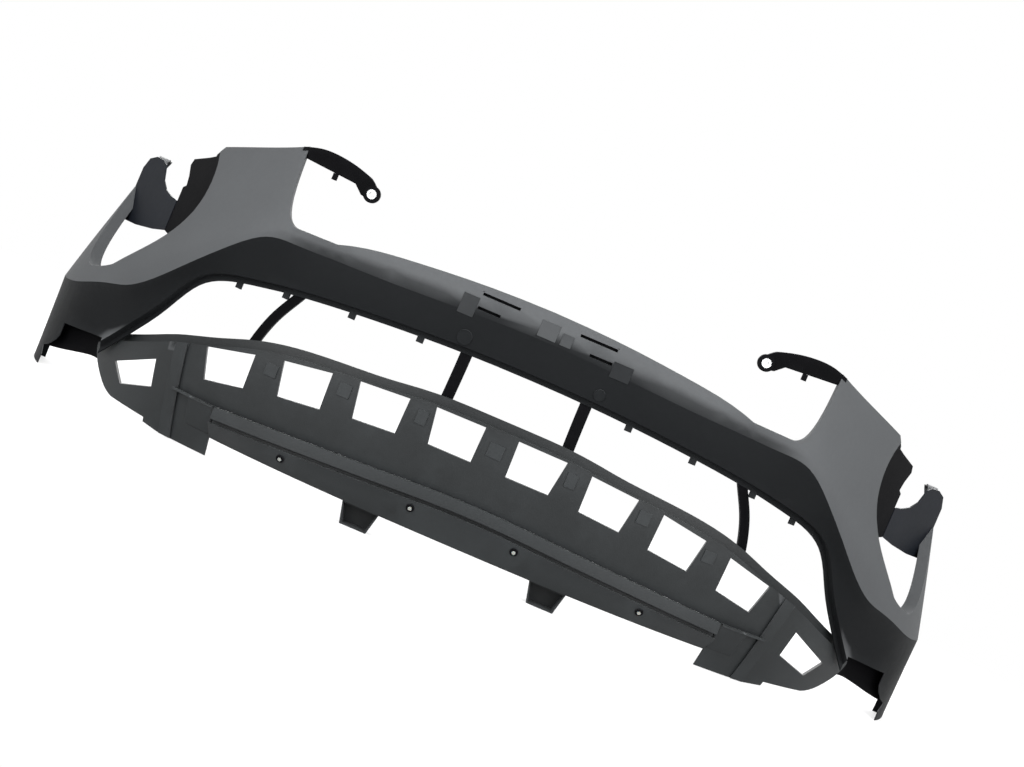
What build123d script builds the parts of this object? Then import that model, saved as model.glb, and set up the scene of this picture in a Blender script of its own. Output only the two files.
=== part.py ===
"""Front bumper cover of a sport utility vehicle, as it comes off the shelf: the painted-grade
fascia, the textured lower cover and air dam lip, and the stays, arms and lamp brackets that
hold them together.

Frame: +X across the vehicle, -Y forward, +Z up. The origin lies under the middle of the
part, on the surface that the lip tabs and the wing feet stand on. Everything is drawn with
its front centre at y = 0 and moved back into that frame when it is written.
"""
import math
import os

from build123d import *

# ---------------------------------------------------------------- driving dimensions (mm)
WIDTH = 1856            # across the plan curve at its widest
HEIGHT = 590            # from the feet to the highest point of the arms
NOSE = 730              # from the front centre back to the widest point of the plan curve
PLAN_POWER = 0.769      # how square the corners are in plan: 1 is an ellipse
WALL = 3.0              # skin of the fascia, the lower cover and the lip

ARCH_RADIUS = 420       # wheel opening
ARCH_BACK = 1004        # wheel centre behind the front centre
ARCH_LEVEL = 150        # wheel centre above the feet

EDGE_RETURN = 22        # how far the opening edges turn inwards
STEP_BACK = 14          # set-back of the hanging flange behind the band's lower edge
STEP_DROP = 11          # how far that flange hangs
HOOK_WIDTH = 13
HOOK_DROP = 10

COVER_STEP = 12         # set-back of the flange above the lower cover's face
COVER_FLANGE = 17       # height of that flange
WINDOW_RETURN = 14      # depth of the window walls
RIDGE_WIDTH = 24
RIDGE_PROUD = 4

TAB_TOP_WIDTH = 69      # lip tabs, which the part stands on
TAB_FOOT_WIDTH = 50
TAB_DEPTH = 42
TAB_OFFSET = 178        # from the centre line

STAY_WIDTH = 21
STAY_DEPTH = 26
STAY_WALL = 3

ARM_WALL = 3
ARM_DEPTH = 24
LUG_RADIUS = 15.5
LUG_LENGTH = 16
SLEEVE_BORE = 9.0
SLEEVE_WALL = 1.6
SLEEVE_FLANGE = 8.6     # flange radius
SLEEVE_FLANGE_THICK = 1.5

RETAINER_HOLE = 8.0
RETAINER_HEAD = 7.5     # head radius
RETAINER_HEAD_THICK = 2.2
RETAINER_SHANK = 12
RETAINER_FIT = 0.1      # between the shank and the hole
PIN_RADIUS = 2.0
PIN_HEAD = 3.4
PIN_HEAD_THICK = 1.4
PIN_FIT = 0.15
PIN_TRAVEL = 6
PIN_LIFT = 0.2          # between the pin's head and the retainer's

# The lines below are drawn at these overall sizes, and follow when the sizes change.
DRAWN_WIDTH = 1856
DRAWN_HEIGHT = 590


def across(x):
    """A lateral place on the drawn lines, at the part's own width."""
    return x * WIDTH / DRAWN_WIDTH


def level(z):
    """A height on the drawn lines, at the part's own height."""
    return z * HEIGHT / DRAWN_HEIGHT


# ---------------------------------------------------------------- styling lines (x, value)
# Fascia: the skin's lower edge, the crease, and how far the skin lies inside the plan curve.
SKIN_EDGE = [(0, 375), (190, 370), (400, 352), (550, 327), (610, 309), (640, 282), (670, 238),
             (710, 186), (745, 142), (800, 72), (850, 8), (890, -24), (928, -30)]
CREASE = [(0, 436), (300, 424), (465, 418), (520, 409), (583, 360), (642, 302), (694, 252),
          (733, 226), (793, 206), (863, 178), (928, 165)]
EDGE_IN = [(0, 7), (400, 9), (480, 16), (550, 34), (640, 32), (745, 34), (800, 24), (860, 8), (928, 3)]
FLANK_HIGH = [(0, 1), (430, 1), (500, 9), (580, 13), (700, 22), (745, 31), (800, 30), (850, 15), (890, 4),
              (928, 1)]
FLANK_LOW = [(0, 2), (430, 3), (500, 17), (580, 24), (700, 31), (745, 38), (800, 38), (850, 18), (890, 5),
             (928, 2)]
LEAN_LOW = [(0, 0), (430, 2), (520, 10), (640, 16), (760, 24), (850, 34), (928, 38)]
LEAN_HIGH = [(0, 30), (430, 36), (520, 44), (640, 50), (760, 62), (850, 76), (928, 82)]
LEAN_TOP = [(0, 110), (430, 105), (520, 95), (640, 96), (760, 108), (850, 120), (928, 126)]
SKIN_TOP = 604
SKIN_END = 927.5        # the last drawn place, just short of the widest point


def along(rail, x):
    """The value of a styling line at a drawn lateral place: a smooth curve through its points."""
    x = min(abs(x), rail[-1][0])
    last = len(rail) - 2
    i = max(k for k in range(last + 1) if rail[k][0] <= x)
    slopes = []
    for k in (i, i + 1):
        left = rail[abs(k - 1)]
        if k == 0:
            left = (-rail[1][0], rail[1][1])
        right = rail[min(k + 1, last + 1)]
        slopes.append((right[1] - left[1]) / (right[0] - left[0]))
    (x0, v0), (x1, v1) = rail[i], rail[i + 1]
    run = x1 - x0
    t = (x - x0) / run
    rise = (3 - 2 * t) * t * t
    return (v0 * (1 - rise) + v1 * rise
            + run * t * (1 - t) * ((1 - t) * slopes[0] - t * slopes[1]))


def base(x):
    """The plan curve at a drawn lateral place: its point and its outward direction."""
    half = WIDTH / 2
    turn = math.asin(min(1, (abs(x) * 2 / DRAWN_WIDTH)) ** (1 / PLAN_POWER))
    y = NOSE * (1 - math.cos(turn))
    if turn == 0:
        return Vector(0, 0, 0), Vector(0, -1, 0)
    run = half * PLAN_POWER * math.sin(turn) ** (PLAN_POWER - 1) * math.cos(turn)
    side = math.copysign(1, x)
    out = Vector(side * NOSE * math.sin(turn), -run, 0).normalized()
    return Vector(side * half * math.sin(turn) ** PLAN_POWER, y, 0), out


def fan_point(x, inward, z):
    """A point in the upright plane that stands square to the plan curve at x."""
    point, out = base(x)
    return point - out * inward + Vector(0, 0, z)


def fan_loft(stations, section):
    """A solid through closed sections, each given as curves of (inward, height) points."""
    wires = []
    for x in stations:
        edges = []
        for curve in section(abs(x)):
            points = [fan_point(x, d, z) for d, z in curve]
            edges.append(Edge.make_line(*points) if len(points) == 2 else Edge.make_bezier(*points))
        wires.append(Wire(edges))
    return Solid.make_loft(wires, ruled=False)


def stations(first, last, count):
    """Drawn lateral places, evenly spaced along the plan curve between two of them."""
    steps = [first + (last - first) * i / 2000 for i in range(2001)]
    walked = [0.0]
    for a, b in zip(steps, steps[1:]):
        walked.append(walked[-1] + (base(b)[0] - base(a)[0]).length)
    places = [next(k for k, w in enumerate(walked) if w >= walked[-1] * i / count)
              for i in range(count)]
    return [steps[k] for k in places] + [last]


def both_sides(places):
    return [-x for x in reversed(places) if x] + places


def skin_section(x):
    """The fascia's outer face below and above the crease, as two curves from the crease."""
    crease, edge, top = (level(v) for v in (along(CREASE, x), along(SKIN_EDGE, x), SKIN_TOP))
    low = [(0, crease), (along(FLANK_HIGH, x), crease + (edge - crease) / 3),
           (along(FLANK_LOW, x), crease + (edge - crease) * 2 / 3), (along(EDGE_IN, x), edge)]
    high = [(0, crease), (along(LEAN_LOW, x), crease + (top - crease) / 3),
            (along(LEAN_HIGH, x), crease + (top - crease) * 2 / 3), (along(LEAN_TOP, x), top)]
    return low, high


def upper_skin(x, near, far):
    """The fascia's skin between two depths behind its outer face."""
    low, high = skin_section(x)
    outer = [[(d + near, z) for d, z in curve] for curve in (low[::-1], high)]
    inner = [[(d + far, z) for d, z in curve] for curve in (high[::-1], low)]
    return outer + [[outer[1][-1], inner[0][0]]] + inner + [[inner[1][-1], outer[0][0]]]


def skin_with_step(x):
    """The skin with the flange that steps back and hangs from its lower edge."""
    low, high = skin_section(x)
    d, z = low[-1]
    outer = [low[::-1], high]
    inner_low = [(p + WALL, q) for p, q in low]
    inner_low[-1] = (d + WALL, z + WALL)
    inner = [[(p + WALL, q) for p, q in high[::-1]], inner_low]
    back = d + STEP_BACK
    corners = [(d + WALL, z + WALL), (back + WALL, z + WALL), (back + WALL, z - STEP_DROP),
               (back, z - STEP_DROP), (back, z), (d, z)]
    steps = [[a, b] for a, b in zip(corners, corners[1:])]
    return outer + [[outer[1][-1], inner[0][0]]] + inner + steps


# ---------------------------------------------------------------- front and side outlines
BAND_TOP = [(-2, 488), (130, 484), (260, 473), (345, 461), (392, 448)]
CHEEK_INNER = [(462, 446), (485, 453), (496, 472), (506, 510), (514, 562), (517, 586)]
CHEEK_TOP = [(517, 586), (560, 567), (610, 548), (671, 526)]
CHEEK_CORNER = [(671, 526), (678, 514)]
CHEEK_OUTER = [(678, 514), (668, 484), (664, 440), (669, 405), (686, 364), (748, 286), (786, 245)]
LAMP_FLOOR = [(786, 245), (806, 233), (838, 221)]
LAMP_REAR = [(388, 221), (440, 229), (490, 262), (530, 312), (568, 385), (598, 432)]
WING_TIP = [(598, 432), (616, 450), (642, 456), (680, 452)]
WING_FOOT = [(750, 112), (846, 98), (846, 73), (852, 61), (868, 44), (884, 35), (877, 18), (879, -60)]
FAR = 1000              # past every edge of the part
SIDE_FROM = 600         # the wings lie outboard of this place


def outline(runs, side=1):
    """A closed face in the front view: runs of two points are straight, longer ones smooth."""
    edges = []
    for run in runs:
        points = [Vector(side * across(x), 0, level(z)) for x, z in run]
        edges.append(Edge.make_line(*points) if len(points) == 2 else Edge.make_spline(points))
    return Face(Wire(edges))


def straight(points):
    """Straight runs through corner points."""
    return [[a, b] for a, b in zip(points, points[1:])]


def front_prism(face, near=-FAR, far=FAR):
    """A front-view face drawn out from one depth to another."""
    return extrude(face.moved(Location((0, near, 0))), amount=far - near, dir=(0, 1, 0))


def widened(runs, amount):
    """The runs of a rim moved sideways, to the left of their way round when above zero."""
    points = [p for i, run in enumerate(runs) for p in (run if i == 0 else run[1:])]
    moved = []
    for i, (a, b) in enumerate(points):
        before, after = points[max(i - 1, 0)], points[min(i + 1, len(points) - 1)]
        run, rise = after[0] - before[0], after[1] - before[1]
        length = math.hypot(run, rise)
        moved.append((a - rise / length * amount, b + run / length * amount))
    start, result = 0, []
    for run in runs:
        result.append(moved[start:start + len(run)])
        start += len(run) - 1
    return result


def mirrored(shape):
    return mirror(shape, about=Plane.YZ)


def grille_opening(margin=0.0):
    """Everything between the cheeks and above the band, on one side of the middle."""
    rim = widened([BAND_TOP, [BAND_TOP[-1], CHEEK_INNER[0]], CHEEK_INNER], -margin)
    x0, z0 = BAND_TOP[0][0], rim[0][0][1]
    rim[0][0] = (x0, z0)
    x1, z1 = rim[-1][-1]
    return outline(rim + straight([(x1, z1), (x1, FAR), (x0, FAR), (x0, z0)]))


def lamp_opening(margin=0.0):
    """Everything above the cheek and outboard of it, as far as the wing."""
    rim = widened([CHEEK_TOP, CHEEK_CORNER, CHEEK_OUTER, LAMP_FLOOR], -margin)
    (x0, z0), (x1, z1) = rim[0][0], rim[-1][-1]
    start = (x0 - 40, z0 + 18)      # on the line of the cheek's top, past its inner corner
    around = [(x1, z1), (FAR, z1), (FAR, FAR), (start[0], FAR), start, (x0, z0)]
    return outline(rim + straight(around))


def side_face(runs):
    """A closed face in the side view, of (back, height) points, at the middle of the part."""
    edges = []
    for run in runs:
        points = [Vector(0, y, level(z)) for y, z in run]
        edges.append(Edge.make_line(*points) if len(points) == 2 else Edge.make_spline(points))
    return Face(Wire(edges))


def lamp_rear(margin=0.0):
    """Everything in front of the wing's front edge and above its tip."""
    rim = widened([LAMP_REAR, WING_TIP], -margin)
    (y0, z0), (y1, z1) = rim[0][0], rim[-1][-1]
    return side_face(rim + straight([(y1, z1), (FAR, z1), (FAR, FAR), (y0, FAR), (y0, z0)]))


def side_prism(face, near=SIDE_FROM):
    return extrude(face.moved(Location((near, 0, 0))), amount=FAR, dir=(1, 0, 0))


def wheel(radius):
    centre = Plane(origin=(SIDE_FROM, ARCH_BACK, level(ARCH_LEVEL)), z_dir=(1, 0, 0))
    return extrude(centre * Circle(radius), amount=FAR)


def block(x, near, far, low, high, width):
    """A box that stands square to the plan curve, between two depths and two heights."""
    point, out = base(x)
    middle = point - out * ((near + far) / 2) + Vector(0, 0, (low + high) / 2)
    plane = Plane(origin=middle, x_dir=out.cross(Vector(0, 0, 1)), z_dir=(0, 0, 1))
    return plane * Box(width, far - near, high - low)


# ---------------------------------------------------------------- fascia
HOOKS = [197, 325, 452, 557]
PLATE_SLOTS = [(56, 125, 470), (83, 125, 445)]      # from, to, height
PLATE_SLOT_HEIGHT = 5
SOCKET_DEPTH = 17       # of the blind pocket behind a slot
SOCKET_WALL = 2
PADS = [(127, 163, 424, 452), (-14, 20, 441, 470), (-156, -127, 425, 461), (28, 48, 441, 462)]
PAD_PROUD = 1.4
BOSSES = [(-126, 389, 13.5), (126, 388, 10.5)]      # place, height, radius


def bezier(values, t):
    """The value of a cubic curve's coordinate at t."""
    weights = ((1 - t) ** 3, 3 * t * (1 - t) ** 2, 3 * t * t * (1 - t), t ** 3)
    return sum(w * v for w, v in zip(weights, values))


def skin_depth(x, z):
    """How far the fascia's outer face lies inside the plan curve at a height."""
    low, high = skin_section(x)
    curve = high if z > high[0][1] else low
    return bezier([d for d, _ in curve], (z - curve[0][1]) / (curve[-1][1] - curve[0][1]))


def patch(left, right, depth, low, high, proud):
    """A raised pad on a face whose depth is given by place and height."""
    def section(x):
        foot, top = depth(x, low), depth(x, high)
        return straight([(foot - proud, low), (top - proud, high), (top + WALL / 2, high),
                         (foot + WALL / 2, low), (foot - proud, low)])
    return fan_loft(stations(left, right, 2), section)


def boss(x, z, radius):
    """A round raised pad on the band."""
    rise = skin_depth(x, z + 1) - skin_depth(x, z)
    _, out = base(x)
    plane = Plane(origin=fan_point(x, skin_depth(x, z), z), z_dir=(out + Vector(0, 0, rise)).normalized())
    return plane * Cylinder(radius, 2 * PAD_PROUD)


def plate_socket(left, right, z):
    """A blind pocket behind the band and the slot that opens it to the front."""
    middle, face = (left + right) / 2, base(right)[0].Y + skin_depth(right, z)
    back = Pos(middle, face + SOCKET_DEPTH / 2 + 1, z) * Box(
        right - left + 2 * SOCKET_WALL, SOCKET_DEPTH, PLATE_SLOT_HEIGHT + 2 * SOCKET_WALL)
    slot = Pos(middle, face, z) * Box(right - left, 2 * (SOCKET_DEPTH - SOCKET_WALL), PLATE_SLOT_HEIGHT)
    return back, slot


def make_fascia():
    places = both_sides(stations(0, SKIN_END, 20))
    skin = fan_loft(places, skin_with_step)
    thick = fan_loft(places, lambda x: upper_skin(x, 1, EDGE_RETURN))
    lamp_far = LAMP_REAR[0][0] + 4
    cuts = [
        front_prism(grille_opening()),
        front_prism(lamp_opening(), far=lamp_far),
        side_prism(lamp_rear()),
        wheel(ARCH_RADIUS),
        front_prism(outline(straight(WING_FOOT + [(750, -60), WING_FOOT[0]]))),
    ]
    rings = [
        front_prism(grille_opening(WALL)),
        front_prism(lamp_opening(WALL), far=lamp_far),
        side_prism(lamp_rear(WALL)),
        wheel(ARCH_RADIUS + WALL),
    ]
    floor = Pos(0, 0, -FAR) * Box(3 * FAR, 3 * FAR, 2 * FAR)
    body = skin - floor
    for cut in cuts:
        body = body - cut - mirrored(cut)
    for ring, cut in zip(rings, cuts):
        lip = thick & (ring - cut)
        for other in cuts:
            if other is not cut:
                lip = lip - other
        lip = lip - floor
        body = body + lip + mirrored(lip)
    for x in HOOKS:
        depth = along(EDGE_IN, x) + STEP_BACK
        low = level(along(SKIN_EDGE, x)) - STEP_DROP
        hook = block(across(x), depth, depth + WALL, low - HOOK_DROP, low + 4, HOOK_WIDTH)
        body = body + hook + mirrored(hook)
    for left, right, z in PLATE_SLOTS:
        back, slot = plate_socket(left, right, level(z))
        body = body + back + mirrored(back) - slot - mirrored(slot)
    for left, right, low, high in PADS:
        body = body + patch(left, right, skin_depth, level(low), level(high), PAD_PROUD)
    for x, z, radius in BOSSES:
        body = body + boss(x, level(z), radius)
    return body


# ---------------------------------------------------------------- lower cover
COVER_TOP = [(0, 281), (130, 279), (230, 268), (382, 255), (468, 239), (562, 208), (645, 182), (716, 153),
             (768, 133), (835, 100)]
COVER_IN = [(0, 30), (450, 36), (600, 44), (700, 50), (768, 53), (835, 53)]
COVER_FOOT_IN = [(0, 78), (450, 82), (600, 72), (835, 62)]
COVER_END = 832
LIP_TOP = [(0, 124), (230, 114), (460, 100), (520, 96)]
LIP_END = 506
SPACE_MARGIN = 60       # how far a cutting solid reaches past the faces that it cuts
COVER_RIM = [(762, 150), (762, 92), (752, 70), (731, 46), (713, 31), (690, 21)]
COVER_SOLE = [(690, 21), (611, 18), (609, 10), (576, 6), (470, 6)]
WINDOWS = [
    [(123, 258), (31, 259), (33, 192), (113, 192)],
    [(263, 246), (171, 253), (173, 186), (252, 180)],
    [(402, 224), (313, 239), (311, 171), (390, 161)],
    [(544, 188), (454, 212), (453, 148), (527, 132)],
    [(710, 83), (629, 125), (618, 75), (682, 51)],
]
RIDGE = [(597, 200), (588, 150), (578, 95), (556, -10)]
RIDGE_SPAN = (530, 665)
COVER_PADS = [(-14, 14, 214, 240), (132, 152, 218, 244), (276, 300, 208, 232), (416, 440, 188, 210)]
COVER_PAD_PROUD = 2
CORNER_SHELF = (508, 598)
CORNER_BOX = (508, 560, 46)     # from, to, and the height of its foot
SHELF_PROUD = 12
SHELF_THICK = 4


def cover_face(x, near=0.0):
    """The cover's outer face as a curve from its foot up to the start of its flange."""
    top = level(along(COVER_TOP, x)) - COVER_FLANGE
    high, foot = along(COVER_IN, x) + near, along(COVER_FOOT_IN, x) + near
    return [(foot, 0), (foot - (foot - high) * 0.5, top / 3), (high + 2, top * 2 / 3), (high, top)]


def cover_depth(x, z):
    """How far the cover's outer face lies inside the plan curve at a height."""
    face = cover_face(x)
    return bezier([d for d, _ in face], z / face[-1][1])


def cover_section(x):
    outer, inner = cover_face(x), cover_face(x, WALL)
    high, top = outer[-1]
    inner[-1] = (high + WALL, top - WALL)
    back = high + COVER_STEP
    corners = [(high, top), (back, top), (back, top + COVER_FLANGE), (back + WALL, top + COVER_FLANGE),
               (back + WALL, top - WALL), (high + WALL, top - WALL)]
    return [outer] + straight(corners) + [inner[::-1], [inner[0], outer[0]]]


def cover_layer(near, far):
    """A section between two depths behind the cover's outer face."""
    def section(x):
        outer, inner = cover_face(x, near), cover_face(x, far)
        return [outer, [outer[-1], inner[-1]], inner[::-1], [inner[0], outer[0]]]
    return section


def rectangle(near, far, low, high):
    return straight([(near, low), (near, high), (far, high), (far, low), (near, low)])


def lip_space(x):
    """What lies below the lip's top: the lower cover is open there."""
    return rectangle(-SPACE_MARGIN, 2 * NOSE / 7, -SPACE_MARGIN, level(along(LIP_TOP, x)))


def shelf_section(x):
    """The ledge that runs on past the lip's end."""
    high = level(along(LIP_TOP, x))
    depth = cover_depth(x, high)
    return rectangle(depth - SHELF_PROUD, depth + 1, high - SHELF_THICK, high)


def corner_box_section(x):
    """The wedge under that ledge, which covers the lip's end."""
    high, low = level(along(LIP_TOP, x)), level(CORNER_BOX[2])
    top, foot = cover_depth(x, high), cover_depth(x, low)
    return straight([(top - SHELF_PROUD, high), (top + 1, high), (foot + 1, low), (foot - 2, low),
                     (top - SHELF_PROUD, high)])


def make_lower_cover():
    places = both_sides(stations(0, COVER_END, 17))
    cover = fan_loft(places, cover_section)
    thick = fan_loft(places, cover_layer(1, WINDOW_RETURN))
    proud = fan_loft(stations(*RIDGE_SPAN, 5), cover_layer(-RIDGE_PROUD, WALL / 2))
    (x0, z0), (x1, z1) = COVER_RIM[0], COVER_SOLE[-1]
    rim = straight([COVER_RIM[0], COVER_RIM[1]]) + [COVER_RIM[1:]]
    around = straight([(x1, z1), (x1, -FAR), (FAR, -FAR), (FAR, z0), (x0, z0)])
    below = front_prism(outline(rim + straight(COVER_SOLE) + around))
    middle = fan_loft(both_sides(stations(0, LIP_END, 10)), lip_space)
    half = RIDGE_WIDTH / 2
    sides = [[(x + half, z) for x, z in RIDGE], [(x - half, z) for x, z in RIDGE[::-1]]]
    closed = [sides[0], [sides[0][-1], sides[1][0]], sides[1], [sides[1][-1], sides[0][0]]]
    ridge = proud & front_prism(outline(closed))
    cover = cover + ridge + mirrored(ridge)
    for corners in WINDOWS:
        loop = corners + corners[:1]
        hole = front_prism(outline(straight(loop)))
        rim = corners[-1:] + loop + corners[1:2]
        wider = widened([rim], -WALL)[0][1:-1]
        walls = thick & (front_prism(outline(straight(wider[:-1] + wider[:1]))) - hole)
        cover = cover + walls + mirrored(walls)
        cover = cover - hole - mirrored(hole)
    for left, right, low, high in COVER_PADS:
        pad = patch(left, right, cover_depth, level(low), level(high), COVER_PAD_PROUD)
        cover = cover + pad
        if left > 0:
            cover = cover + mirrored(pad)
    corner = fan_loft(stations(*CORNER_SHELF, 3), shelf_section)
    corner = corner + fan_loft(stations(*CORNER_BOX[:2], 2), corner_box_section)
    cover = cover + corner + mirrored(corner)
    return cover - below - mirrored(below) - middle


# ---------------------------------------------------------------- air dam lip
LIP_GAP = 0.3           # below the lower cover's edge
LEDGE_HEIGHT = 22
GROOVE_HEIGHT = 7
GROOVE_DEPTH = 12
LIP_IN = [(0, 36), (460, 42), (520, 44)]
LIP_FOOT_IN = 24        # how much further in the foot of the lip's face lies
LIP_FOOT = 40
LIP_SOLE = 46           # depth of the sole behind that foot
TAB_WALL = 3
RETAINERS = [(-352, "outer_left"), (-99, "inner_left"), (99, "inner_right"), (352, "outer_right")]
RETAINER_DOWN = 14      # below the top of the lip's face
RETAINER_SEAT = 0.15    # between the head and the curved face


def lip_line(x):
    """The lip's outer line from its top flange down to the back of its sole."""
    d, top = along(LIP_IN, x), level(along(LIP_TOP, x)) - LIP_GAP
    ledge = top - LEDGE_HEIGHT
    face = ledge - GROOVE_HEIGHT
    foot = level(LIP_FOOT)
    return [(d + 26, top), (d, top), (d, ledge), (d + GROOVE_DEPTH, ledge), (d + GROOVE_DEPTH, face),
            (d - 2, face), (d + LIP_FOOT_IN, foot), (d + LIP_FOOT_IN + LIP_SOLE, foot - 3)]


def lip_section(x):
    line = lip_line(x)
    shifts = [(0, -1), (1, -1), (1, 1), (1, 1), (1, -1), (1.8, -1), (1, 1), (0, 1)]
    inner = [(d + a * WALL, z + b * WALL) for (d, z), (a, b) in zip(line, shifts)]
    return straight(line + inner[::-1] + line[:1])


def retainer_seat(x):
    """Where a retainer's axis meets the lip's face, and the outward direction of that face."""
    line = lip_line(x)
    (d0, z0), (d1, z1) = line[5], line[6]
    share = RETAINER_DOWN / (z0 - z1)
    point = fan_point(x, d0 + (d1 - d0) * share, z0 - RETAINER_DOWN)
    _, out = base(x)
    normal = (out * (z0 - z1) - Vector(0, 0, d1 - d0)).normalized()
    return point, normal


def retainer_plane(x):
    point, normal = retainer_seat(x)
    return Plane(origin=point + normal * RETAINER_SEAT, z_dir=normal)


def make_lip():
    places = both_sides(stations(0, LIP_END - 1, 10))
    lip = fan_loft(places, lip_section)
    _, z = lip_line(TAB_OFFSET)[6]
    depth = along(LIP_IN, TAB_OFFSET) + LIP_FOOT_IN + 10
    near = base(TAB_OFFSET)[0].Y + depth
    top, foot = TAB_TOP_WIDTH / 2, TAB_FOOT_WIDTH / 2
    def tapered(margin, low, high):
        corners = [(-top + margin, high), (top - margin, high), (foot - margin, low), (-foot + margin, low)]
        points = [Vector(TAB_OFFSET + a, 0, b) for a, b in corners]
        return Face(Wire.make_polygon(points, close=True))
    tab = front_prism(tapered(0, 0, z - 1), near, near + TAB_DEPTH)
    hollow = tapered(TAB_WALL, TAB_WALL, z - TAB_WALL)
    tab = tab - front_prism(hollow, near - 1, near + TAB_DEPTH - TAB_WALL)
    lip = lip + tab + mirrored(tab)
    for x, _ in RETAINERS:
        plane = retainer_plane(x)
        lip = lip - plane * Cylinder(RETAINER_HOLE / 2, 40)
    return lip


# ---------------------------------------------------------------- push retainers
def make_retainer(x):
    plane = retainer_plane(x)
    bore = PIN_RADIUS + PIN_FIT
    shank = RETAINER_HOLE / 2 - RETAINER_FIT
    up = (Align.CENTER, Align.CENTER, Align.MIN)
    down = (Align.CENTER, Align.CENTER, Align.MAX)
    body = Cylinder(RETAINER_HEAD, RETAINER_HEAD_THICK, align=up)
    body = body + Cylinder(shank, RETAINER_SHANK, align=down)
    body = body - Cylinder(bore, 4 * RETAINER_SHANK)
    return plane * body


def make_pin(x):
    plane = retainer_plane(x)
    seat = RETAINER_HEAD_THICK + PIN_LIFT
    up = (Align.CENTER, Align.CENTER, Align.MIN)
    head = Pos(0, 0, seat) * Cylinder(PIN_HEAD, PIN_HEAD_THICK, align=up)
    length = RETAINER_SHANK + seat + PIN_HEAD_THICK / 2
    stem = Pos(0, 0, -RETAINER_SHANK) * Cylinder(PIN_RADIUS, length, align=up)
    return plane * (head + stem)


# ---------------------------------------------------------------- grille stays
STAY_LAP = 11
STAY_SEAT = 0.2
STAY_REACH = 90         # how far to each side of its line a stay's space is drawn
STAYS = {
    "inner": [(112, 386), (113, 320), (115, 262)],
    "outer": [(407, 366), (424, 332), (446, 293), (461, 256), (471, 218)],
}
STAY_WIDTHS = {"inner": STAY_WIDTH, "outer": 17}


def stay_space(front, lap):
    """The space behind both hanging flanges, from a depth behind them."""
    def section(x):
        high = along(EDGE_IN, x) + STEP_BACK + WALL + STAY_SEAT + front
        low = along(COVER_IN, x) + COVER_STEP + WALL + STAY_SEAT + front
        top, foot = level(along(SKIN_EDGE, x)) - STEP_DROP, level(along(COVER_TOP, x))
        far = STAY_DEPTH + 60 * front
        near_side = [(low, foot - lap), (low, foot), (high, top), (high, top + lap)]
        return straight(near_side + [(high + far, top + lap), (low + far, foot - lap), near_side[0]])
    return section


def strip(points, width):
    """An even strip along a smooth line in the front view."""
    left, right = widened([points], width / 2)[0], widened([points], -width / 2)[0]
    return outline([left, [left[-1], right[-1]], right[::-1], [right[0], left[0]]])


def make_stay(name):
    line, width = STAYS[name], STAY_WIDTHS[name]
    middle = line[len(line) // 2][0]
    places = stations(middle - STAY_REACH, middle + STAY_REACH, 4)
    outside = fan_loft(places, stay_space(0, STAY_LAP)) & front_prism(strip(line, width))
    hollow = front_prism(strip(line, width - 2 * STAY_WALL))
    inside = fan_loft(places, stay_space(STAY_WALL, 3 * STAY_LAP)) & hollow
    return outside - inside


# ---------------------------------------------------------------- upper arms
ARM_TOP = [(548, 576), (517, 585), (494, 591), (468, 592.5), (430, 588), (391, 577)]
ARM_END = [(391, 577), (374, 562), (366, 550)]
ARM_FOOT = [(374, 538), (398, 543), (414, 557), (453, 560), (548, 567)]
ARM_PLAN = [(556, 186), (500, 165), (440, 152), (360, 146)]
LUG_PLACE = (380, 551)
LUG_FRONT = 146         # behind the front centre
ARM_HOOK = (453, 554)
ARM_HOOK_SIZE = (9, 12, 12)
ARM_TRIM = (562, 700)   # behind the cheek, between these places, the arm starts at the skin's back


def arm_shell(depth):
    """The upright wall under the bonnet's leading edge, as a plan strip of even depth."""
    front = [Vector(across(x), y, 0) for x, y in ARM_PLAN]
    back = [point + Vector(0, depth, 0) for point in front]
    edges = [Edge.make_spline(front), Edge.make_line(front[-1], back[-1]),
             Edge.make_spline(back[::-1]), Edge.make_line(back[0], front[0])]
    return extrude(Face(Wire(edges)), amount=FAR, dir=(0, 0, 1))


def arm_outline(margin=0.0):
    top = widened([ARM_TOP, ARM_END], margin)
    foot = [(x, z) for x, z in ARM_FOOT]
    return outline(top + straight([top[-1][-1]] + foot + [top[0][0]]))


def make_arm(skin_front, fascia):
    x, z = LUG_PLACE
    y = LUG_FRONT
    outside = front_prism(arm_outline())
    top_wall = arm_shell(ARM_DEPTH) & (outside - front_prism(arm_outline(ARM_WALL)))
    arm = (arm_shell(ARM_WALL) & outside) + top_wall
    along_y = Plane(origin=(across(x), y, level(z)), z_dir=(0, 1, 0))
    lug = along_y * Cylinder(LUG_RADIUS, LUG_LENGTH, align=(Align.CENTER, Align.CENTER, Align.MIN))
    arm = arm + lug
    arm = arm + Pos(across(ARM_HOOK[0]), y + ARM_HOOK_SIZE[1] + 2, level(ARM_HOOK[1])) * Box(*ARM_HOOK_SIZE)
    bore = along_y * Cylinder(SLEEVE_BORE / 2 + SLEEVE_WALL, 4 * LUG_LENGTH)
    return arm - bore - skin_front - fascia


def make_sleeve():
    x, z = LUG_PLACE
    plane = Plane(origin=(across(x), LUG_FRONT, level(z)), z_dir=(0, 1, 0))
    up = (Align.CENTER, Align.CENTER, Align.MIN)
    tube = plane * Cylinder(SLEEVE_BORE / 2 + SLEEVE_WALL, LUG_LENGTH, align=up)
    down = (Align.CENTER, Align.CENTER, Align.MAX)
    collar = plane * Cylinder(SLEEVE_FLANGE, SLEEVE_FLANGE_THICK, align=down)
    return tube + collar - plane * Cylinder(SLEEVE_BORE / 2, 4 * LUG_LENGTH)


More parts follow.
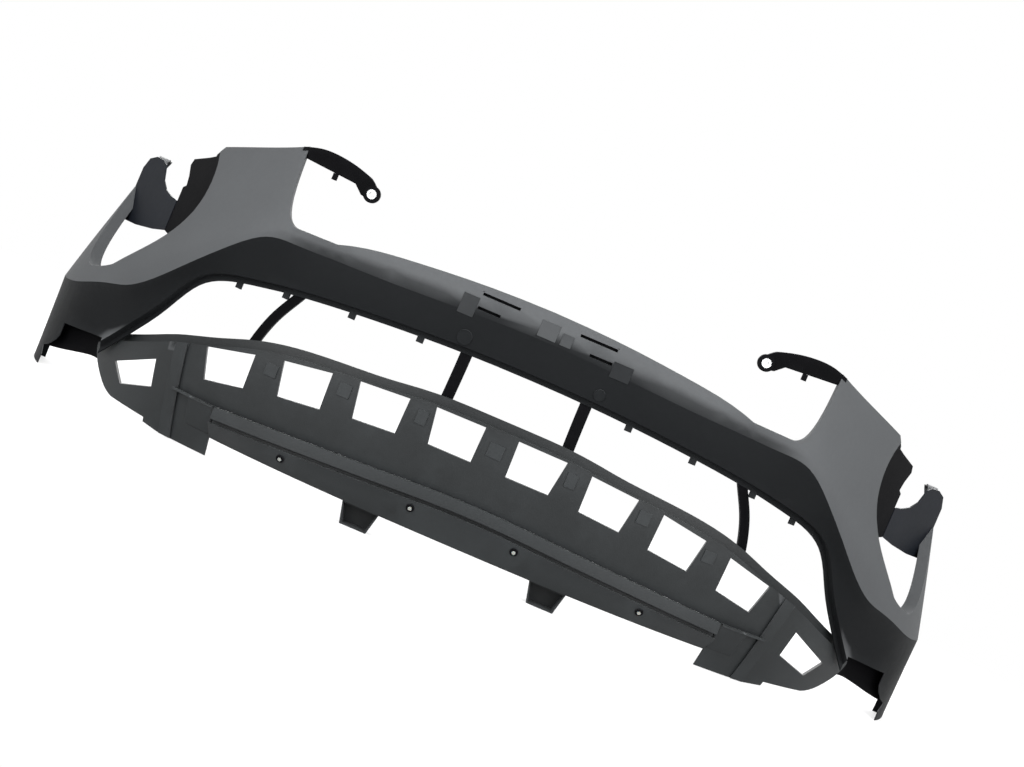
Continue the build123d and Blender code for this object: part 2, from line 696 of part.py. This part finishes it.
# ---------------------------------------------------------------- lamp brackets and closing plates
BRACKET_LINE = ((645, 215), (735, 400))
BRACKET = [(0, 340), (0, 517), (82, 514), (86, 503), (120, 496), (207, 481), (216, 468), (198, 448),
           (190, 430), (207, 424), (207, 335), (110, 326)]
BRACKET_TRIM = (600, 780)
PLATE_LINE = ((737, 402), (850, 570))
PLATE = [(0, 336), (0, 396), (33, 399), (65, 406), (90, 420), (100, 436), (108, 448), (125, 454),
         (158, 455), (188, 446), (203, 424), (205, 316), (136, 318), (60, 326)]


def panel(line, corners):
    """An upright panel of even thickness over a straight line in plan."""
    start, end = (Vector(across(x), y, 0) for x, y in line)
    run = (end - start).normalized()
    points = [start + run * s + Vector(0, 0, level(z)) for s, z in corners]
    inward = Vector(0, 0, 1).cross(run)
    return extrude(Face(Wire.make_polygon(points, close=True)), amount=WALL, dir=inward)


# ---------------------------------------------------------------- end flaps
FLAP_FROM, FLAP_TO = 800, 892
SKIN_REACH = 90         # in front of the skin, past whatever is trimmed to it
FLAP_IN = [(800, 56), (835, 49), (892, 6.6)]
FLAP_TOP = [(800, 118), (892, 98)]
FLAP_FOOT = [(800, 68), (892, 36)]


def make_flap(cover, fascia):
    def section(x):
        d = along(FLAP_IN, x)
        return rectangle(d, d + WALL, level(along(FLAP_FOOT, x)), level(along(FLAP_TOP, x)))
    flap = fan_loft(stations(FLAP_FROM, FLAP_TO, 4), section)
    return flap - cover - fascia


def in_front_of_skin(first, last):
    """Everything in front of the back of the fascia's skin, between two places."""
    return fan_loft(stations(first, last, 4), lambda x: upper_skin(x, -SKIN_REACH, WALL + STAY_SEAT))


def largest(shape):
    """The main solid of a cut piece."""
    return max(shape.solids(), key=lambda s: s.volume)


def build():
    """Every piece by name, with the front centre at y = 0."""
    pieces = {}
    fascia = make_fascia()
    cover = make_lower_cover()
    pieces["fascia"] = fascia
    pieces["lower_cover"] = cover
    pieces["air_dam_lip"] = make_lip()
    right = {name + "_grille_stay": make_stay(name) for name in STAYS}
    right["upper_arm"] = make_arm(in_front_of_skin(*ARM_TRIM), fascia)
    right["lug_sleeve"] = make_sleeve()
    right["lamp_bracket"] = panel(BRACKET_LINE, BRACKET) - in_front_of_skin(*BRACKET_TRIM) - fascia
    right["closing_plate"] = panel(PLATE_LINE, PLATE) - fascia
    right["end_flap"] = make_flap(cover, fascia)
    for name, piece in right.items():
        piece = largest(piece)
        pieces[name + "_right"] = piece
        pieces[name + "_left"] = mirrored(piece)
    for x, name in RETAINERS:
        pieces["retainer_" + name] = make_retainer(x)
        pieces["retainer_pin_" + name] = make_pin(x)
    return pieces


def write():
    """Move the pieces so that the origin is under the middle of the whole, and write them."""
    os.makedirs("parts", exist_ok=True)
    pieces = build()
    front = min(piece.bounding_box().min.Y for piece in pieces.values())
    back = max(piece.bounding_box().max.Y for piece in pieces.values())
    for name, piece in pieces.items():
        export_step(Pos(0, -(front + back) / 2, 0) * piece, "parts/" + name + ".step")


if __name__ == "__main__":
    write()
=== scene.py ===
"""Front bumper cover: moulded finishes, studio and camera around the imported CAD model.

Laid out as an add-on and run as a script. Everything is in metres in the part's own frame:
+X across the vehicle, -Y forward, +Z up, with the part standing on z = 0.
"""
import math

import bpy
from mathutils import Matrix, Vector


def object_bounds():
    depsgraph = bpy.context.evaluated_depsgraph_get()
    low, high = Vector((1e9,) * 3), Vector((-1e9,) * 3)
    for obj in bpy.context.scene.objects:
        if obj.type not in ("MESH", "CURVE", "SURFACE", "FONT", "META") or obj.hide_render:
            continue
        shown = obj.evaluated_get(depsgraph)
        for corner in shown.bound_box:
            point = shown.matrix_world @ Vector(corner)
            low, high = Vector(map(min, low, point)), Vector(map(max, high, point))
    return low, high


bl_info = {
    "name": "Front bumper cover",
    "version": (1, 0, 0),
    "blender": (4, 5, 0),
    "location": "View3D > Sidebar > Bumper cover",
    "description": "Moulded finishes, studio and camera for a bare front bumper cover",
    "category": "Object",
}

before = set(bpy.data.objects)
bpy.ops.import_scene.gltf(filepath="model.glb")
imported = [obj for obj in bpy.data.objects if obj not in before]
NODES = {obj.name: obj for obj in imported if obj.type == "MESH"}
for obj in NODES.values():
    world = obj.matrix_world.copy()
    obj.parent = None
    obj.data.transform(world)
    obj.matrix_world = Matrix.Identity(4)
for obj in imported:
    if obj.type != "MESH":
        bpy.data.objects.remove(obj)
CAD_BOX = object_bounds()
MM = 0.001

FLOW_MARK_WIDTH = 140 * MM      # slow cloudy marks left by the flowing melt
DUST_CLOUD_WIDTH = 9 * MM
PLATING_CLOUD_WIDTH = 2.5 * MM
PIN_EDGE_RADIUS = 0.4 * MM
FLOOR_REACH = 30                # from the middle of the floor to each edge
BACKDROP_REACH = 4              # from the middle of the backdrop to each side, and its height
BACKDROP_BACK = 7               # behind the middle of the part
FLOOR_LIT_SHARE = 0.55          # of the floor that shows real light and shadow, near the part
FADE_FROM = 0.8                 # from the middle of the part, where the floor starts to whiten
FADE_TO = 2.6                   # where it is all white
FRONT_LAMP = {"place": (1.8, -2.4, 1.4), "aim": (0.5, -0.1, 0.4), "size": (2.2, 2.2)}
BACK_LAMP = {"place": (1.6, 2.8, 1.8), "aim": (0.5, 0.0, 0.3), "size": (2.2, 1.6)}
TOP_LAMP = {"place": (0, 0.2, 3.2), "aim": (0, -0.1, 0.3), "size": (3.2, 1.4)}
CAMERA_AIM = (-0.020, 0.1013, 0.343)    # across, behind the part's front, and above the floor
SENSOR_WIDTH = 36               # millimetres


# ---------------------------------------------------------------- properties
def colour_property(name, description, default):
    """A colour that the user may change, kept as the linear value of an sRGB hex colour."""
    return bpy.props.FloatVectorProperty(
        name=name, description=description, subtype="COLOR", size=4, min=0, max=1,
        default=linear(default))


def linear(hex_colour):
    """An sRGB hex colour as linear RGBA."""
    parts = [int(hex_colour[i:i + 2], 16) / 255 for i in (1, 3, 5)]
    return [c / 12.92 if c <= 0.04045 else ((c + 0.055) / 1.055) ** 2.4 for c in parts] + [1.0]


class BumperFinishes(bpy.types.PropertyGroup):
    """Colours and grain sizes of the mouldings."""
    fascia: colour_property("Fascia", "Unpainted TPO of the fascia", "#121314")
    cover: colour_property("Lower cover", "Grained polypropylene of the lower cover and lip", "#161819")
    bracket: colour_property("Brackets", "Black polypropylene of arms, stays and brackets", "#070708")
    plate: colour_property("Closing plates", "Blue-black polyethylene of the closing plates", "#0c0e12")
    pin: colour_property("Retainer pins", "Natural nylon of the retainer pins", "#62625f")
    zinc: colour_property("Sleeves", "Zinc plating of the lug sleeves", "#c9cbcc")
    # Painted top light: a pale grey mixed onto faces turned upwards so that they look lit from above.
    painted_top_light: colour_property("Painted top light", "Pale grey painted onto faces turned upwards as light from above", "#727476")
    # Both real grains are too fine to show at this distance, so both are drawn coarser.
    satin_grain: bpy.props.FloatProperty(
        name="Fascia grain", description="Width of one grain of the fascia's spark-eroded mould",
        default=1.1 * MM, min=0.2 * MM, subtype="DISTANCE", unit="LENGTH")
    leather_grain: bpy.props.FloatProperty(
        name="Cover grain", description="Width of one grain of the lower cover's etched mould",
        default=2.2 * MM, min=0.2 * MM, subtype="DISTANCE", unit="LENGTH")
    edge_radius: bpy.props.FloatProperty(
        name="Edge radius", description="Radius that the mouldings' edges catch light with",
        default=1.1 * MM, min=0, subtype="DISTANCE", unit="LENGTH")


class BumperStudio(bpy.types.PropertyGroup):
    """Camera and lamps."""
    distance: bpy.props.FloatProperty(
        name="Camera distance", description="From the camera to the point that it looks at",
        default=4.0, min=1, subtype="DISTANCE", unit="LENGTH")
    elevation: bpy.props.FloatProperty(
        name="Elevation", description="How far above level the camera stands",
        default=math.radians(3.0), subtype="ANGLE", unit="ROTATION")
    roll: bpy.props.FloatProperty(
        name="Roll", description="How far the camera is turned about its own view line",
        default=math.radians(23.15), subtype="ANGLE", unit="ROTATION")
    lens: bpy.props.FloatProperty(
        name="Lens", description="Focal length in millimetres on a 36 mm sensor",
        default=80.16, min=20)
    front_power: bpy.props.FloatProperty(
        name="Front lamps", description="Power of each large lamp in front", default=150, min=0,
        subtype="POWER")
    back_power: bpy.props.FloatProperty(
        name="Back lamps", description="Power of each large lamp behind", default=100, min=0,
        subtype="POWER")
    top_power: bpy.props.FloatProperty(
        name="Top lamp", description="Power of the wide top lamp", default=50, min=0,
        subtype="POWER")
    sky: bpy.props.FloatProperty(
        name="Room", description="Strength of the even light of the room", default=0.18, min=0)
    floor: colour_property("Floor", "Paint of the studio floor and backdrop", "#f2f2f2")


# ---------------------------------------------------------------- materials
def add_node(tree, kind, links=None, **settings):
    """Add a shader node with its settings, and link sockets to its named inputs."""
    node = tree.nodes.new(kind)
    for name, value in settings.items():
        setattr(node, name, value)
    for name, source in (links or {}).items():
        if isinstance(source, bpy.types.NodeSocket):
            tree.links.new(source, node.inputs[name])
        else:
            node.inputs[name].default_value = source
    return node


def start_material(name, **sockets):
    """A node material with constant values set on its principled shader's own sockets."""
    material = bpy.data.materials.new(name)
    material.use_nodes = True
    shader = material.node_tree.nodes["Principled BSDF"]
    for socket, value in sockets.items():
        shader.inputs[socket.replace("_", " ")].default_value = value
    return material, material.node_tree, shader


def moulded_surface(tree, shader, colour, grain, depth, tone, sheen_span, edge_radius, painted_top_light, painted_top_light_share):
    """Mould grain, slow flow-mark tone, colour lifted along sharp edges and painted top light (faces
    turned upwards mixed towards a pale grey) for one moulded plastic.
    """
    place = add_node(tree, "ShaderNodeTexCoord").outputs["Object"]
    flow = add_node(tree, "ShaderNodeTexNoise", {
        "Vector": place, "Scale": 1 / FLOW_MARK_WIDTH, "Detail": 3.0, "Roughness": 0.55})
    dust = add_node(tree, "ShaderNodeTexNoise", {
        "Vector": place, "Scale": 1 / DUST_CLOUD_WIDTH, "Detail": 5.0, "Roughness": 0.7})
    pits = add_node(tree, "ShaderNodeTexVoronoi", {
        "Vector": place, "Scale": 1 / grain, "Randomness": 1.0}, feature="SMOOTH_F1")
    mottle = add_node(tree, "ShaderNodeMath", {0: flow.outputs["Fac"], 1: dust.outputs["Fac"]},
                      operation="ADD")
    shade = add_node(tree, "ShaderNodeMapRange", {
        "Value": mottle.outputs["Value"], "From Min": 0.7, "From Max": 1.3,
        "To Min": 1 - tone, "To Max": 1 + tone})
    geometry = add_node(tree, "ShaderNodeNewGeometry").outputs
    # Colour lifted by up to 60% along sharp convex edges, read from pointiness.
    sharp_edge_lift = add_node(tree, "ShaderNodeMapRange", {
        "Value": geometry["Pointiness"], "From Min": 0.52, "From Max": 0.62, "To Min": 0.0, "To Max": 0.6})
    lift = add_node(tree, "ShaderNodeMath", {0: shade.outputs["Result"], 1: sharp_edge_lift.outputs["Result"]},
                    operation="ADD")
    base = add_node(tree, "ShaderNodeVectorMath", {0: colour[:3]}, operation="SCALE")
    tree.links.new(lift.outputs["Value"], base.inputs["Scale"])
    # Painted top light: the more a face turns upwards, the more of the pale grey it gets, mottled by the
    # random tone, so that it looks lit from above.
    facing = add_node(tree, "ShaderNodeSeparateXYZ", {"Vector": geometry["Normal"]})
    top_light_mask = add_node(tree, "ShaderNodeMapRange", {
        "Value": facing.outputs["Z"], "From Min": 0.0, "From Max": 0.22,
        "To Min": 0.0, "To Max": painted_top_light_share}, interpolation_type="SMOOTHSTEP")
    mottled_top_light = add_node(tree, "ShaderNodeMath", {
        0: top_light_mask.outputs["Result"], 1: shade.outputs["Result"]}, operation="MULTIPLY")
    with_top_light = add_node(tree, "ShaderNodeMix", {
        "Factor": mottled_top_light.outputs["Value"], "A": base.outputs["Vector"], "B": painted_top_light[:3]},
        data_type="VECTOR")
    tree.links.new(with_top_light.outputs["Result"], shader.inputs["Base Color"])
    gloss = add_node(tree, "ShaderNodeMapRange", {
        "Value": mottle.outputs["Value"], "From Min": 0.7, "From Max": 1.3,
        "To Min": sheen_span[0], "To Max": sheen_span[1]})
    tree.links.new(gloss.outputs["Result"], shader.inputs["Roughness"])
    edges = add_node(tree, "ShaderNodeBevel", {"Radius": edge_radius}, samples=4)
    bump = add_node(tree, "ShaderNodeBump", {
        "Height": pits.outputs["Distance"], "Distance": depth, "Strength": 1.0,
        "Normal": edges.outputs["Normal"]})
    tree.links.new(bump.outputs["Normal"], shader.inputs["Normal"])


def fascia_finish(finishes):
    """Thermoplastic olefin, injection moulded in a spark-eroded tool and left unpainted: a soft
    charcoal skin with faint cloudy flow marks."""
    material, tree, shader = start_material(
        "injection_moulded_TPO_satin", IOR=1.49, Specular_IOR_Level=0.02)
    # The last two arguments paint top light: about 31% pale grey at most on faces turned upwards.
    moulded_surface(tree, shader, finishes.fascia, finishes.satin_grain, 0.012 * MM, 0.05,
                    (0.46, 0.56), finishes.edge_radius, finishes.painted_top_light, 0.31)
    return material


def cover_finish(finishes):
    """Talc-filled polypropylene, injection moulded in an etched tool: fine leather grain that
    breaks the highlight up and looks a little blue beside the fascia."""
    material, tree, shader = start_material(
        "injection_moulded_PP_etched_grain", IOR=1.49, Specular_IOR_Level=0.20)
    # Painted top light: about 15% pale grey at most on faces turned upwards.
    moulded_surface(tree, shader, finishes.cover, finishes.leather_grain, 0.10 * MM, 0.14,
                    (0.42, 0.52), finishes.edge_radius, finishes.painted_top_light, 0.15)
    return material


def bracket_finish(finishes):
    """Carbon-black polypropylene, injection moulded in a plain tool: near black and matt."""
    material, tree, shader = start_material(
        "injection_moulded_PP_black", IOR=1.49, Specular_IOR_Level=0.01)
    # Painted top light: about 3% pale grey at most on faces turned upwards.
    moulded_surface(tree, shader, finishes.bracket, finishes.satin_grain, 0.03 * MM, 0.12,
                    (0.50, 0.60), finishes.edge_radius, finishes.painted_top_light, 0.03)
    return material


def plate_finish(finishes):
    """High-density polyethylene, injection moulded: blue-black, smooth and slightly waxy."""
    material, tree, shader = start_material(
        "injection_moulded_HDPE_blue_black", IOR=1.53, Specular_IOR_Level=0.04)
    # Painted top light: about 3% pale grey at most on faces turned upwards.
    moulded_surface(tree, shader, finishes.plate, finishes.satin_grain, 0.02 * MM, 0.12,
                    (0.36, 0.46), finishes.edge_radius, finishes.painted_top_light, 0.03)
    return material


def pin_finish(finishes):
    """Natural nylon 66, injection moulded: off-white and slightly translucent."""
    material, tree, shader = start_material(
        "injection_moulded_nylon_natural", IOR=1.53, Subsurface_Weight=0.1)
    moulded_surface(tree, shader, finishes.pin, finishes.satin_grain, 0.01 * MM, 0.05,
                    (0.35, 0.45), PIN_EDGE_RADIUS, finishes.painted_top_light, 0.0)
    return material


def zinc_finish(finishes):
    """Zinc-plated steel tube: pale grey metal whose plating is clouded in patches."""
    material, tree, shader = start_material("zinc_plated_steel", Metallic=1.0)
    place = add_node(tree, "ShaderNodeTexCoord").outputs["Object"]
    cloud = add_node(tree, "ShaderNodeTexNoise", {
        "Vector": place, "Scale": 1 / PLATING_CLOUD_WIDTH, "Detail": 4.0, "Roughness": 0.6})
    tint = add_node(tree, "ShaderNodeMapRange", {
        "Value": cloud.outputs["Fac"], "From Min": 0.3, "From Max": 0.7,
        "To Min": 0.55, "To Max": 1.0})
    base = add_node(tree, "ShaderNodeVectorMath", {0: finishes.zinc[:3]}, operation="SCALE")
    tree.links.new(tint.outputs["Result"], base.inputs["Scale"])
    tree.links.new(base.outputs["Vector"], shader.inputs["Base Color"])
    dull = add_node(tree, "ShaderNodeMapRange", {
        "Value": cloud.outputs["Fac"], "To Min": 0.42, "To Max": 0.22})
    tree.links.new(dull.outputs["Result"], shader.inputs["Roughness"])
    return material


def finish_nodes(material, *names):
    """Give CAD nodes one material in all their slots."""
    for name in names:
        mesh = NODES[name].data
        if not mesh.materials:
            mesh.materials.append(material)
        for i in range(len(mesh.materials)):
            mesh.materials[i] = material


def sides(*names):
    """The left and right nodes of each name."""
    return [f"{name}_{side}" for name in names for side in ("left", "right")]


# ---------------------------------------------------------------- operators
class BUMPER_OT_fascia(bpy.types.Operator):
    """Finish the fascia in satin moulded TPO"""
    bl_idname = "bumper.fascia"
    bl_label = "Fascia"

    def execute(self, context):
        finish_nodes(fascia_finish(context.scene.bumper_finishes), "fascia")
        return {"FINISHED"}


class BUMPER_OT_lower_cover(bpy.types.Operator):
    """Finish the lower cover and the air dam lip in grained polypropylene"""
    bl_idname = "bumper.lower_cover"
    bl_label = "Lower cover and lip"

    def execute(self, context):
        finish_nodes(cover_finish(context.scene.bumper_finishes), "lower_cover", "air_dam_lip")
        return {"FINISHED"}


class BUMPER_OT_black_mouldings(bpy.types.Operator):
    """Finish the arms, stays, lamp brackets, end flaps and retainers in black polypropylene"""
    bl_idname = "bumper.black_mouldings"
    bl_label = "Arms, stays, brackets and retainers"

    def execute(self, context):
        finish_nodes(
            bracket_finish(context.scene.bumper_finishes),
            *sides("upper_arm", "inner_grille_stay", "outer_grille_stay", "lamp_bracket", "end_flap",
                   "retainer_outer", "retainer_inner"))
        return {"FINISHED"}


class BUMPER_OT_closing_plates(bpy.types.Operator):
    """Finish the closing plates in blue-black polyethylene"""
    bl_idname = "bumper.closing_plates"
    bl_label = "Closing plates"

    def execute(self, context):
        finish_nodes(plate_finish(context.scene.bumper_finishes), *sides("closing_plate"))
        return {"FINISHED"}


class BUMPER_OT_pins_and_sleeves(bpy.types.Operator):
    """Finish the retainer pins in nylon and the lug sleeves in plated steel"""
    bl_idname = "bumper.pins_and_sleeves"
    bl_label = "Pins and sleeves"

    def execute(self, context):
        finishes = context.scene.bumper_finishes
        finish_nodes(pin_finish(finishes), *sides("retainer_pin_outer", "retainer_pin_inner"))
        finish_nodes(zinc_finish(finishes), *sides("lug_sleeve"))
        return {"FINISHED"}


def lamp(name, setting, power, side=1):
    """A soft rectangular lamp turned towards a point. With side -1 it is the mirror image."""
    place, aim = [Vector((side * point[0], *point[1:])) for point in (setting["place"], setting["aim"])]
    data = bpy.data.lights.new(name, "AREA")
    data.shape = "RECTANGLE"
    data.size, data.size_y = setting["size"]
    data.energy = power
    thing = bpy.data.objects.new(name, data)
    thing.visible_camera = False
    bpy.context.scene.collection.objects.link(thing)
    look = (aim - place).to_track_quat("-Z", "Y").to_matrix().to_4x4()
    thing.matrix_world = Matrix.Translation(place) @ look


def seen_directly(tree):
    """One for rays that the camera, a reflection or clear material sees, and zero for the light
    that falls on things."""
    path = add_node(tree, "ShaderNodeLightPath").outputs
    seen = add_node(tree, "ShaderNodeMath", {0: path["Is Camera Ray"], 1: path["Is Glossy Ray"]},
                    operation="MAXIMUM")
    return add_node(tree, "ShaderNodeMath", {
        0: seen.outputs["Value"], 1: path["Is Transmission Ray"]}, operation="MAXIMUM").outputs["Value"]


def white_paint(name, colour, lit_share):
    """Matt studio paint, shown to the camera and to reflections as lit_share of itself and white
    for the rest. Away from the object it is all white, so that no horizon shows."""
    material, tree, shader = start_material(name, Base_Color=colour, Roughness=0.9,
                                            Specular_IOR_Level=0.0)
    place = add_node(tree, "ShaderNodeTexCoord").outputs["Object"]
    away = add_node(tree, "ShaderNodeVectorMath", {0: place}, operation="LENGTH")
    whiter = add_node(tree, "ShaderNodeMapRange", {
        "Value": away.outputs["Value"], "From Min": FADE_FROM, "From Max": FADE_TO,
        "To Min": 1 - lit_share, "To Max": 1.0}, interpolation_type="SMOOTHSTEP")
    share = add_node(tree, "ShaderNodeMath", {
        0: seen_directly(tree), 1: whiter.outputs["Result"]}, operation="MULTIPLY")
    white = add_node(tree, "ShaderNodeEmission", {"Color": (1, 1, 1, 1), "Strength": 1.0})
    both = add_node(tree, "ShaderNodeMixShader", {0: share.outputs["Value"]})
    tree.links.new(shader.outputs["BSDF"], both.inputs[1])
    tree.links.new(white.outputs["Emission"], both.inputs[2])
    tree.links.new(both.outputs["Shader"], tree.nodes["Material Output"].inputs["Surface"])
    return material


def flat_sheet(name, corners, material):
    """A four-cornered sheet of the studio."""
    mesh = bpy.data.meshes.new(name)
    mesh.from_pydata(corners, [], [(0, 1, 2, 3)])
    mesh.materials.append(material)
    sheet = bpy.data.objects.new(name, mesh)
    bpy.context.scene.collection.objects.link(sheet)


class BUMPER_OT_studio(bpy.types.Operator):
    """Set the floor, the backdrop, the lamps and the camera"""
    bl_idname = "bumper.studio"
    bl_label = "Studio"

    def execute(self, context):
        studio = context.scene.bumper_studio
        low = CAD_BOX[0][2]
        floor = white_paint("floor_paint", studio.floor, FLOOR_LIT_SHARE)
        wall = white_paint("backdrop_paint", studio.floor, 0.0)
        wide, side, back = FLOOR_REACH, BACKDROP_REACH, BACKDROP_BACK
        flat_sheet("studio_floor",
                   [(-wide, -wide, low), (wide, -wide, low), (wide, wide, low), (-wide, wide, low)], floor)
        flat_sheet("studio_backdrop",
                   [(-side, back, low), (side, back, low), (side, back, side), (-side, back, side)], wall)

        world = bpy.data.worlds.new("studio_room")
        world.use_nodes = True
        room = world.node_tree.nodes["Background"].inputs
        room["Color"].default_value = (1, 1, 1, 1)
        strength = add_node(world.node_tree, "ShaderNodeMath", {
            0: seen_directly(world.node_tree), 1: 1 - studio.sky, 2: studio.sky},
            operation="MULTIPLY_ADD")
        world.node_tree.links.new(strength.outputs["Value"], room["Strength"])
        context.scene.world = world

        for side, word in ((-1, "left"), (1, "right")):
            lamp(f"front_lamp_{word}", FRONT_LAMP, studio.front_power, side)
            lamp(f"back_lamp_{word}", BACK_LAMP, studio.back_power, side)
        lamp("top_lamp", TOP_LAMP, studio.top_power)

        data = bpy.data.cameras.new("camera")
        data.sensor_width = SENSOR_WIDTH
        data.lens = studio.lens
        camera = bpy.data.objects.new("camera", data)
        context.scene.collection.objects.link(camera)
        target = Vector((0, CAD_BOX[0][1], low)) + Vector(CAMERA_AIM)
        back = Vector((0, -math.cos(studio.elevation), math.sin(studio.elevation)))
        look = (-back).to_track_quat("-Z", "Y").to_matrix().to_4x4()
        camera.matrix_world = (Matrix.Translation(target + back * studio.distance) @ look
                               @ Matrix.Rotation(studio.roll, 4, "Z"))
        context.scene.camera = camera
        context.scene.view_settings.view_transform = "Standard"
        return {"FINISHED"}


class BUMPER_PT_panel(bpy.types.Panel):
    """Sizes, colours and steps of the bumper cover"""
    bl_idname = "BUMPER_PT_panel"
    bl_label = "Bumper cover"
    bl_space_type = "VIEW_3D"
    bl_region_type = "UI"
    bl_category = "Bumper cover"

    def draw(self, context):
        for group in (context.scene.bumper_finishes, context.scene.bumper_studio):
            box = self.layout.box()
            for name in group.__annotations__:
                box.prop(group, name)
        for operator in OPERATORS:
            self.layout.operator(operator.bl_idname)


OPERATORS = (BUMPER_OT_fascia, BUMPER_OT_lower_cover, BUMPER_OT_black_mouldings,
             BUMPER_OT_closing_plates, BUMPER_OT_pins_and_sleeves, BUMPER_OT_studio)
CLASSES = (BumperFinishes, BumperStudio) + OPERATORS + (BUMPER_PT_panel,)


def register():
    for one in CLASSES:
        bpy.utils.register_class(one)
    bpy.types.Scene.bumper_finishes = bpy.props.PointerProperty(type=BumperFinishes)
    bpy.types.Scene.bumper_studio = bpy.props.PointerProperty(type=BumperStudio)


def unregister():
    del bpy.types.Scene.bumper_studio
    del bpy.types.Scene.bumper_finishes
    for one in reversed(CLASSES):
        bpy.utils.unregister_class(one)


def main():
    register()
    bpy.ops.bumper.fascia()
    bpy.ops.bumper.lower_cover()
    bpy.ops.bumper.black_mouldings()
    bpy.ops.bumper.closing_plates()
    bpy.ops.bumper.pins_and_sleeves()
    bpy.ops.bumper.studio()


if __name__ == "__main__":
    main()
